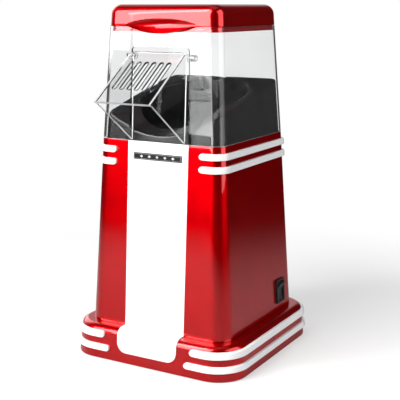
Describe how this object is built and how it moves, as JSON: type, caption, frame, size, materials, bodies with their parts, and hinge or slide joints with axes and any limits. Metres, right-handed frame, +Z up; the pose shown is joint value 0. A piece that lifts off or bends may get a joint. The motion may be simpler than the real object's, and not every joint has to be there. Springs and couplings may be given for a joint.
{
  "type": "popcorn maker",
  "caption": "Hot-air popcorn maker: a tapered square tower on a banded plinth, with a clear lift-off cover, a swinging slotted chute flap and a lid with a finger tab.",
  "frame": {"origin": "centre of the square base, on the surface it stands on", "axes": "+Z up through the lid, -Y out of the front where the chute is, +X out of the side with the switch"},
  "size_m": [0.1666, 0.1933, 0.3],
  "materials": {
    "red_gloss": "red pearl lacquer on plastic, high gloss",
    "white_gloss": "gloss white",
    "black_plastic": "fine-textured black",
    "black_hood": "semi-gloss black, heat-resistant",
    "badge_black": "gloss black plate with a thin border",
    "switch_black": "satin black",
    "clear_plastic": "clear polycarbonate",
    "steel": "zinc plated",
    "steel_sheet": "sheet steel",
    "aluminium": "spun aluminium",
    "brass": "bright",
    "heater_wire": "nickel-chromium wire",
    "rubber": "soft black rubber",
    "mica": "mica sheet",
    "circuit_board": "green board"
  },
  "bodies": {
    "base": {"plinth": "red_gloss", "plinth_front_panel": "white_gloss", "plinth_upper_band": "white_gloss", "plinth_lower_band": "white_gloss", "base_plate": "black_plastic", "feet": "rubber", "base_screws": "steel", "body_shell": "red_gloss", "front_panel": "white_gloss", "body_upper_band": "white_gloss", "body_lower_band": "white_gloss", "badge": "badge_black", "body_screws": "steel", "cord_gland": "rubber", "switch_housing": "switch_black", "switch_terminals": "brass", "rectifier_board": "circuit_board", "rectifier_diodes": "black_plastic", "motor": "steel_sheet", "motor_end_cap": "black_plastic", "motor_screws": "steel", "fan_housing": "black_plastic", "housing_screws": "steel", "heater_former": "mica", "heating_coil": "heater_wire", "thermostat": "black_plastic", "thermal_fuse": "steel_sheet", "heat_shield": "steel_sheet", "popping_chamber": "aluminium", "chamber_gasket": "rubber", "hood": "black_hood", "hood_screws": "steel"},
    "fan": {"fan_impeller": "black_plastic", "motor_shaft": "steel"},
    "rocker": {"switch_rocker": "switch_black"},
    "cover_body": {"cover": "clear_plastic"},
    "flap": {"chute_flap": "clear_plastic"},
    "lid_body": {"lid": "red_gloss"}
  },
  "joints": [
    {"name": "fan_spin", "type": "hinge", "parent": "base", "child": "fan", "pos_m": [0, 0, 0.0755], "axis": [0, 0, 1], "continuous": true},
    {"name": "switch_press", "type": "hinge", "parent": "base", "child": "rocker", "pos_m": [0.06546, 0.0364, 0.04689], "axis": [0, -1, 0], "range_deg": [0, 20]},
    {"name": "cover_lift", "type": "slide", "parent": "base", "child": "cover_body", "axis": [0, 0, 1], "range_m": [0, 0.06]},
    {"name": "chute_swing", "type": "hinge", "parent": "cover_body", "child": "flap", "pos_m": [0, -0.0525, 0.258], "axis": [-1, 0, 0], "range_deg": [0, 45]},
    {"name": "lid_lift", "type": "slide", "parent": "cover_body", "child": "lid_body", "axis": [0, 0, 1], "range_m": [0, 0.025]}
  ]
}
